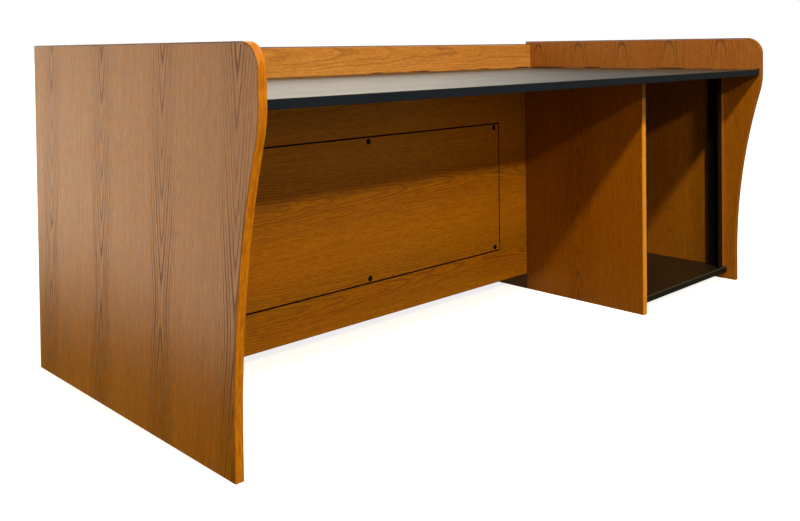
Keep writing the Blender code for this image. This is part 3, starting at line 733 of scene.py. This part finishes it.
boardEase = dict(band=0.0009, veneered=0.0006, cleat=0.0010, sheet=0.0004, cover=0.0010)
straightBoards = (
    ("left_rear_edging", "band", amberBand, "oak_edge"),
    ("right_rear_edging", "band", amberBand, "oak_edge"),
    ("rear_panel_edging", "band", amberBand, "oak_edge"),
    ("divider_edging", "band", paleBand, "oak_edge"),
    ("rear_panel", "veneered", rearOak, "oak_face"),
    ("divider", "veneered", dividerOak, "oak_face"),
    ("worktop", "sheet", blackLaminate, "black_laminate"),
    ("worktop_laminate", "sheet", blackLaminate, "black_laminate"),
    ("worktop_front_band", "band", charcoalBand, "charcoal_band"),
    ("rack_shelf", "sheet", shelfLaminate, "black_laminate"),
)
for node, kind, finish, slot in straightBoards:
    dress(boardOf(node, boardEase[kind]), finish, slot, "case", node)
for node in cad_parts:
    if "_cleat_" in node or "_block_" in node:
        dress(boardOf(node, boardEase["cleat"]), cleatWood, "cleat_wood", "case", node)


def darkenEdges(piece, finish, across=1, leastFacing=0.98):
    # faces that don't look along the given axis take the board's edge finish
    piece.data.materials.append(finish)
    facing = np.empty(len(piece.data.polygons) * 3)
    piece.data.polygons.foreach_get("normal", facing)
    edge = np.abs(facing.reshape(-1, 3)[:, across]) < leastFacing
    piece.data.polygons.foreach_set("material_index", edge.astype(np.int32))


def nosedBand(name, node, steps=16):
    # a rounded nose as high as the band and as deep as it, carried along the band's length: the height goes
    # with the sine of an angle, the depth with the root of its cosine
    low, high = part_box(node)
    angle = np.linspace(-np.pi / 2, np.pi / 2, steps + 1)
    depth = high.y - (high.y - low.y) * np.sqrt(np.cos(angle).clip(0))
    height = (low.z + high.z) / 2 + (high.z - low.z) / 2 * np.sin(angle)
    points = together(np.array([[low.x], [high.x]]), depth, height)
    caps = np.arange(2 * len(angle)).reshape(2, -1)
    band = putPiece(name, points, gridQuads(2, len(angle)).tolist() + caps.tolist())
    return closeUp(band, sharpAngle=60.0)


nosing = nosedBand("rack_shelf_nosing", "rack_shelf_band")
dress(nosing, nosingBlack, "charcoal_band", "case", "rack_shelf_band")
for side in ("left", "right"):
    spacer = boardOf("rail_spacer_" + side, boardEase["veneered"])
    dress(spacer, darkBand, "oak_face", "case", "rail_spacer_" + side)
    darkenEdges(spacer, paintedBlack)
coverBoard = boardOf("access_cover", boardEase["cover"])
dress(coverBoard, innerOak, "oak_face", "access_cover", "access_cover")
# painted shade: the cover's edges are darkened so the reveal reads as a shaded gap
darkenEdges(coverBoard, sealedEdgeWithShade)
print("straight boards, bands and cleats built")

# Inner panel with its access opening

innerPanel = dict(reveal=0.0025, ease=0.0010, steps=3)


def framedBoard(name, node, cover, values):
    # a closed section carried round the four sides, from the outer edge over the front to the opening and
    # back: each of its points lies on the outer rectangle drawn in, or on the opening's rectangle drawn out
    low, high, middle = boxEnds(node)
    holeLow, holeHigh, holeMiddle = boxEnds(cover)
    ease = values["ease"]
    quarter = np.linspace(0, np.pi / 2, values["steps"] + 1)
    eased = together(ease * (1 - np.cos(quarter)), low[1] + ease * (1 - np.sin(quarter)))
    outer = np.vstack([[0.0, high[1]], eased])
    opening = np.vstack([eased[::-1], [0.0, high[1]]])
    inset = np.concatenate([outer[:, 0], -opening[:, 0]])
    depth = np.concatenate([outer[:, 1], opening[:, 1]])
    count = len(inset)
    onOuter = np.arange(count)[:, None] < len(outer)
    half = np.where(onOuter, high - low, holeHigh - holeLow + 2 * values["reveal"]) / 2 - inset[:, None]
    corners = np.array([[-1, 0, -1], [1, 0, -1], [1, 0, 1], [-1, 0, 1]])
    points = np.where(onOuter, middle, holeMiddle) + corners[:, None] * half
    points[..., 1] = depth
    return putPiece(name, points, np.concatenate([gridQuads(4, count), joinRows(3, count)]).tolist())


innerFrame = framedBoard("inner_panel_frame", "inner_panel", "access_cover", innerPanel)
dress(closeUp(innerFrame), innerOak, "oak_face", "case", "inner_panel")
# painted shade: the opening's edges are darkened so the reveal reads as a shaded gap
darkenEdges(innerFrame, sealedEdgeWithShade)
print("inner panel built")

# Screws and cup washers

coverScrew = dict(cupRadius=0.0075, cupRim=0.0006, lipRadius=0.0048, lipWidth=0.0006, cupHeight=0.0021,
                  cupPoints=9, boreRadius=0.0026, seat=0.0003, headRadius=0.0043, headDepth=0.0021,
                  dome=0.0009, shank=0.0020, point=0.003)
railScrew = dict(headRadius=0.0040, dome=0.0016, fullness=0.98, rim=0.0008, shank=0.0020, point=0.003)
crossRecess = dict(arm=0.0026, halfWidth=0.00055, depth=0.0011, slope=0.0003)
crownShares = np.linspace(0, 1, 25)


def frameOn(axis):
    # two directions square to an axis
    helper = np.array([0.0, 0.0, 1.0]) if abs(axis[2]) < 0.5 else np.array([1.0, 0.0, 0.0])
    first = np.cross(axis, helper)
    return first, np.cross(axis, first)


def turned(name, radius, along, seat, axis, sides=48, closed=False):
    # a profile of radius and distance along the axis, swung round the axis
    first, second = frameOn(axis)
    angle = np.linspace(0, 2 * np.pi, sides, endpoint=False)
    ring = np.cos(angle)[:, None] * first + np.sin(angle)[:, None] * second
    points = seat + along[..., None] * axis + radius[..., None] * ring
    quads = gridQuads(len(points), sides)
    if closed:
        quads = np.concatenate([quads, joinRows(len(points) - 1, sides)])
    return putPiece(name, points, quads.tolist())


def screwPiece(name, seat, axis, crown, domed, shankProfile, recess, sides=48):
    # the crown is a polar grid sunk by a cross: two arms, each as deep as its slope lets it be at that
    # width; the shank's profile follows it
    angle = np.linspace(0, 2 * np.pi, sides, endpoint=False)
    sideways, upward = crown[:, None] * np.cos(angle), crown[:, None] * np.sin(angle)
    offArm = np.minimum(np.abs(sideways), np.abs(upward))
    inArm = np.clip((recess["halfWidth"] - offArm) / recess["slope"], 0, 1)
    inReach = np.clip((recess["arm"] - np.hypot(sideways, upward)) / recess["slope"], 0, 1)
    sunk = domed[:, None] + recess["depth"] * inArm * inReach
    tail = np.array(shankProfile)
    radius = np.repeat(np.concatenate([crown, tail[:, 0]])[:, None], sides, axis=1)
    along = np.concatenate([sunk, np.repeat(tail[:, 1:], sides, axis=1)])
    return closeUp(turned(name, radius, along, seat, axis, sides), sharpAngle=30.0)


def cupPiece(name, seat, axis, values):
    # a quarter of an ellipse from the rim up to the lip, then a cone down to the bore
    swell = np.linspace(0, np.pi / 2, values["cupPoints"])
    shoulder = values["lipRadius"] + values["lipWidth"]
    bulge = shoulder + (values["cupRadius"] - shoulder) * np.cos(swell)
    risen = values["cupRim"] + (values["cupHeight"] - values["cupRim"]) * np.sin(swell)
    radius = np.concatenate([[values["cupRadius"]], bulge, [values["lipRadius"], values["boreRadius"]]])
    along = -values["seat"] - np.concatenate([[0.0], risen, [values["cupHeight"], 0.0]])
    return closeUp(turned(name, radius[:, None], along[:, None], seat, axis, closed=True))


def ovalScrew(name, seat, axis, reach, values):
    # a flat parabola for the crown, proud of the cup, and a shank from under the head to a point
    cupTop = values["seat"] + values["cupHeight"]
    domed = -cupTop - values["dome"] * (1 - crownShares ** 2)
    tail = [(values["shank"], -cupTop + values["headDepth"]), (values["shank"], reach - values["point"]),
            (0.0, reach)]
    return screwPiece(name, seat, axis, crownShares * values["headRadius"], domed, tail, crossRecess)


def panScrew(name, seat, axis, reach, values):
    # nearly half of an ellipse for the crown, a straight rim, and a shank to a point
    height = values["dome"] + values["rim"]
    domed = values["dome"] * (1 - np.sqrt(1 - values["fullness"] * crownShares ** 2))
    tail = [(values["headRadius"], height), (values["shank"], height),
            (values["shank"], reach - values["point"]), (0.0, reach)]
    return screwPiece(name, seat, axis, crownShares * values["headRadius"], domed, tail, crossRecess)


coverFace = boxEnds("access_cover")[0][1]
backward = np.array([0.0, 1.0, 0.0])
for number in range(1, 7):
    washer, screw = f"cover_cup_washer_{number}", f"cover_screw_{number}"
    seat = boxEnds(washer)[2]
    seat[1] = coverFace
    cup = cupPiece(f"cover_cup_{number}", seat, backward, coverScrew)
    dress(cup, blackenedSteel, "black_steel", "access_cover", washer)
    reach = boxEnds(screw)[1][1] - coverFace
    head = ovalScrew(f"cover_oval_screw_{number}", seat, backward, reach, coverScrew)
    dress(head, blackenedSteel, "black_steel", "access_cover", screw)

for side, outward in (("left", -1.0), ("right", 1.0)):
    for number in range(1, 5):
        node = f"rail_screw_{side}_{number}"
        low, high, seat = boxEnds(node)
        seat[0] = low[0] if outward > 0 else high[0]
        axis = np.array([outward, 0.0, 0.0])
        head = panScrew(f"rail_pan_screw_{side}_{number}", seat, axis, high[0] - low[0], railScrew)
        dress(head, blackenedSteel, "black_steel", "case", node)
print("screws and cup washers built")

# Rack rails

rackRail = dict(metal=0.002, flange=0.025, leg=0.038, bend=0.003, unit=0.04445,
                unitHoles=(0.00635, 0.022225, 0.0381), holeRadius=0.0026, holeInset=0.007125, flatSteps=10,
                riseSteps=6, bendSteps=5)


def railPiece(name, node, inward, values):
    # the flange is a column of rectangles, each with its hole: rays from the hole's middle to the
    # rectangle's edge give both outlines; the bend and the leg are a section carried up through the heights
    low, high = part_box(node)
    metal, flange, leg, bend = values["metal"], values["flange"], values["leg"], values["bend"]
    units = int((high.z - low.z) / values["unit"])
    start = low.z + (high.z - low.z - units * values["unit"]) / 2
    holes = (start + np.arange(units)[:, None] * values["unit"] + np.array(values["unitHoles"])).ravel()
    edges = np.concatenate([[low.z], (holes[1:] + holes[:-1]) / 2, [high.z]])
    cellHeights = (edges[1:] - edges[:-1])[:, None]
    flat = np.arange(values["flatSteps"]) / values["flatSteps"]
    rise = np.arange(values["riseSteps"]) / values["riseSteps"]
    acrossShare = np.concatenate([flat, np.ones_like(rise), 1 - flat, np.zeros_like(rise)])
    upShare = np.concatenate([np.zeros_like(flat), rise, np.ones_like(flat), 1 - rise])
    count = len(acrossShare)
    edgeReach = np.broadcast_to(bend + acrossShare * (flange - bend), (len(holes), count))
    edgeHeight = edges[:-1, None] + upShare * cellHeights
    holeReach = flange - values["holeInset"]
    ray = together(edgeReach - holeReach, edgeHeight - holes[:, None])
    ray *= values["holeRadius"] / np.linalg.norm(ray, axis=-1, keepdims=True)
    ringReach, ringHeight = holeReach + ray[..., 0], holes[:, None] + ray[..., 1]
    ringBack = together(ringReach, metal, ringHeight)
    ringFront = together(ringReach, 0.0, ringHeight)
    front = np.stack([ringBack, ringFront, together(edgeReach, 0.0, edgeHeight)], axis=1)
    rear = np.stack([together(edgeReach, metal, edgeHeight), ringBack], axis=1)
    cell = (np.arange(len(holes)) * count)[:, None, None]
    heights = np.append((edges[:-1, None] + rise * cellHeights).ravel(), high.z)
    arc = np.linspace(0, np.pi / 2, values["bendSteps"] + 1)
    inner = bend - metal
    outerBend = together(bend - bend * np.sin(arc), bend - bend * np.cos(arc))
    innerBend = together(bend - inner * np.cos(arc), bend - inner * np.sin(arc))
    section = np.vstack([outerBend, [[0, leg], [metal, leg]], innerBend])
    toe = np.array([[flange, metal], [flange, 0.0]])
    walls = [together(outline[:, 0], outline[:, 1], heights[:, None]) for outline in (section, toe)]
    span = bend + np.append(flat, 1.0) * (flange - bend)
    capLine = np.vstack([section, together(span, metal), together(span[::-1], 0.0)])
    capFace = np.arange(len(capLine))[None]
    blocks = (
        (front, gridQuads(3, count) + 3 * cell),
        (rear, gridQuads(2, count) + 2 * cell),
        (walls[0], gridQuads(len(heights), len(section), False)),
        (walls[1], gridQuads(len(heights), len(toe), False)),
        (together(capLine[:, 0], capLine[:, 1], low.z), capFace),
        (together(capLine[:, 0], capLine[:, 1], high.z), capFace),
    )
    parts, faces, base = [], [], 0
    for block, blockFaces in blocks:
        parts.append(block.reshape(-1, 3))
        faces += (blockFaces.reshape(-1, blockFaces.shape[-1]) + base).tolist()
        base += len(parts[-1])
    local = np.concatenate(parts)
    heel = low.x if inward > 0 else high.x
    points = np.column_stack([heel + inward * local[:, 0], low.y + local[:, 1], local[:, 2]])
    return closeUp(putPiece(name, points, faces), sharpAngle=40.0)


for side, inward in (("left", 1.0), ("right", -1.0)):
    rail = railPiece(f"rack_angle_{side}", f"rack_rail_{side}", inward, rackRail)
    dress(rail, powderBlack, "black_steel", "case", f"rack_rail_{side}")
print("rack rails built")

# Floor, light and camera

studioFloor = dict(radius=60.0, middle=0.001, rings=24, sides=96, height=-0.0005, specular=0.2,
                   roughness=0.7, cloudScale=3.0, dark=(0.86, 0.86, 0.86), pale=(0.90, 0.90, 0.90),
                   glow=0.82)


def floorPiece(name, values):
    # rings whose radius grows with the square of their number, almost closed at the middle
    radius = np.linspace(0, 1, values["rings"])[:, None] ** 2 * values["radius"] + values["middle"]
    angle = np.linspace(0, 2 * np.pi, values["sides"], endpoint=False)
    points = together(radius * np.cos(angle), radius * np.sin(angle), values["height"])
    material, shader = newFinish("pale studio floor", values["specular"])
    clouds = noise(objectPlace(shader), values["cloudScale"], detail=5.0)
    feed(shader.inputs["Base Color"], blendColours(clouds, values["dark"], values["pale"]))
    shader.inputs["Roughness"].default_value = values["roughness"]
    shader.inputs["Emission Color"].default_value = (1, 1, 1, 1)
    shader.inputs["Emission Strength"].default_value = values["glow"]
    piece = putPiece(name, points, gridQuads(values["rings"], values["sides"]).tolist())
    piece.data.materials.append(material)
    piece.visible_diffuse = False
    piece.visible_glossy = False
    return piece


floor = floorPiece("studio_floor", studioFloor)

studioWall = dict(
    slopeFrom=0.30, slopeMost=-0.30, slope=-0.63, stepSpan=(-0.435, -0.38), step=0.020, foot=(-0.24, -0.09),
    head=(0.35, 0.75), rightSpan=(-0.1, 0.2), rightReach=0.081, cornerTop=0.08, cornerSpan=(-0.72, -0.60),
    cornerDepth=0.9, rear=(0.60, 0.80), levelSpan=(-0.12, 0.02), levelGain=-0.16, sideSpan=(-0.56, -0.38),
    sideTop=(-0.08, 0.04), sideGain=0.75, strength=0.95, left=(2.85, 2.25, 1.58),
    right=(2.60, 2.36, 2.02))
studioRoom = dict(
    horizon=(-0.15, 0.15), low=(0.165, 0.132, 0.03), high=(0.29, 0.25, 0.145),
    frontSpan=(-0.95, -0.45), frontFoot=(-0.45, -0.05), front=(0.38, 0.28, 0.10),
    besideSpan=(0.30, 0.45), besideTop=(0.18, 0.35), beside=(0.40, 0.47, 0.62))


def studioGlow(tree, wall, room):
    # light by direction, with x to the desk's right, y to its rear and z up: a bright wall behind the desk,
    # whose foot slopes at the left, in a dim room that is warmer in front and bluer beside the wall
    coordinates = tree.nodes.new("ShaderNodeTexCoord")
    rightward, rearward, upward = splitUp(coordinates.outputs["Generated"])
    beyond = calc("MINIMUM", plus(rightward, wall["slopeFrom"]), 0.0)
    sloped = timesPlus(calc("MAXIMUM", beyond, wall["slopeMost"]), wall["slope"], upward)
    lifted = timesPlus(ramp(rightward, *wall["stepSpan"]), wall["step"], sloped)
    raised = times(ramp(lifted, *wall["foot"]), fadeOut(upward, *wall["head"]))
    atRight = ramp(rightward, *wall["rightSpan"])
    below = calc("MINIMUM", plus(upward, wall["cornerTop"]), 0.0)
    sunken = times(below, fadeOut(rightward, *wall["cornerSpan"], wall["cornerDepth"]))
    reached = plus(timesPlus(atRight, wall["rightReach"], rearward), sunken)
    behind = ramp(reached, *wall["rear"])
    level = times(ramp(upward, *wall["levelSpan"]), minus(1.0, atRight))
    aside = times(fadeOut(rightward, *wall["sideSpan"]), fadeOut(upward, *wall["sideTop"]))
    gained = timesPlus(aside, wall["sideGain"], wall["strength"])
    share = times(raised, behind, timesPlus(level, wall["levelGain"], gained))
    around = blendColours(ramp(upward, *room["horizon"]), room["low"], room["high"])
    front = times(fadeOut(rearward, *room["frontSpan"]), ramp(upward, *room["frontFoot"]))
    around = blendColours(front, around, room["front"])
    beside = times(atRight, ramp(rearward, *room["besideSpan"]),
                   fadeOut(upward, *room["besideTop"]))
    around = blendColours(beside, around, room["beside"])
    return blendColours(share, around, blendColours(atRight, wall["left"], wall["right"]))


world = bpy.data.worlds.new("soft studio")
bpy.context.scene.world = world
world.use_nodes = True
tree = world.node_tree
tree.nodes.clear()
studio = tree.nodes.new("ShaderNodeBackground")
feed(studio.inputs["Color"], studioGlow(tree, studioWall, studioRoom))
backdrop = tree.nodes.new("ShaderNodeBackground")
backdrop.inputs["Color"].default_value = (1, 1, 1, 1)
seen = tree.nodes.new("ShaderNodeLightPath")
either = tree.nodes.new("ShaderNodeMixShader")
feed(either.inputs[0], seen.outputs["Is Camera Ray"])
feed(either.inputs[1], studio.outputs[0])
feed(either.inputs[2], backdrop.outputs[0])
feed(tree.nodes.new("ShaderNodeOutputWorld").inputs["Surface"], either.outputs[0])


def areaLamp(name, place, aim, size, power, colour):
    data = bpy.data.lights.new(name, "AREA")
    data.shape = "RECTANGLE"
    data.size, data.size_y = size
    data.energy = power
    data.color = colour
    lamp = bpy.data.objects.new(name, data)
    lamp.location = place
    lamp.rotation_euler = (Vector(place) - Vector(aim)).to_track_quat("Z", "Y").to_euler()
    lamp.visible_camera = False
    bpy.context.scene.collection.objects.link(lamp)


frontLamp = dict(place=(-0.70, -4.75, 2.97), aim=(0.2, -0.48, 0.69), size=(0.5, 0.22), power=106.0,
                 colour=(1.0, 0.79, 0.45))
overheadLamp = dict(place=(-0.85, -2.38, 3.25), aim=(0.3, -0.48, 0.69), size=(0.30, 0.20), power=122.0,
                    colour=(1.0, 0.83, 0.50))
ceilingLamp = dict(place=(0.6, -1.3, 4.0), aim=(0.0, 0.4, 0.76), size=(1.2, 0.6), power=14.0,
                   colour=(0.85, 0.92, 1.0))
areaLamp("front_lamp", **frontLamp)
areaLamp("overhead_lamp", **overheadLamp)
areaLamp("ceiling_lamp", **ceilingLamp)

camera = dict(place=(-1.9146, -1.7862, 0.7997), yaw=0.7676, pitch=0.0201, roll=-0.0128, sensor=36.0,
              lens=40.578, shift=-0.245)
turns = ((-camera["yaw"], "Z"), (math.pi / 2 - camera["pitch"], "X"), (camera["roll"], "Z"))
turnedBy, tippedBy, rolledBy = (Matrix.Rotation(angle, 4, axis) for angle, axis in turns)
lensData = bpy.data.cameras.new("photo view")
lensData.sensor_width = camera["sensor"]
lensData.lens = camera["lens"]
lensData.shift_y = camera["shift"]
eye = bpy.data.objects.new("photo_view", lensData)
eye.matrix_world = turnedBy @ tippedBy @ rolledBy
eye.location = camera["place"]
bpy.context.scene.collection.objects.link(eye)
bpy.context.scene.camera = eye
bpy.context.scene.view_settings.view_transform = "Standard"
print("floor, light and camera placed")
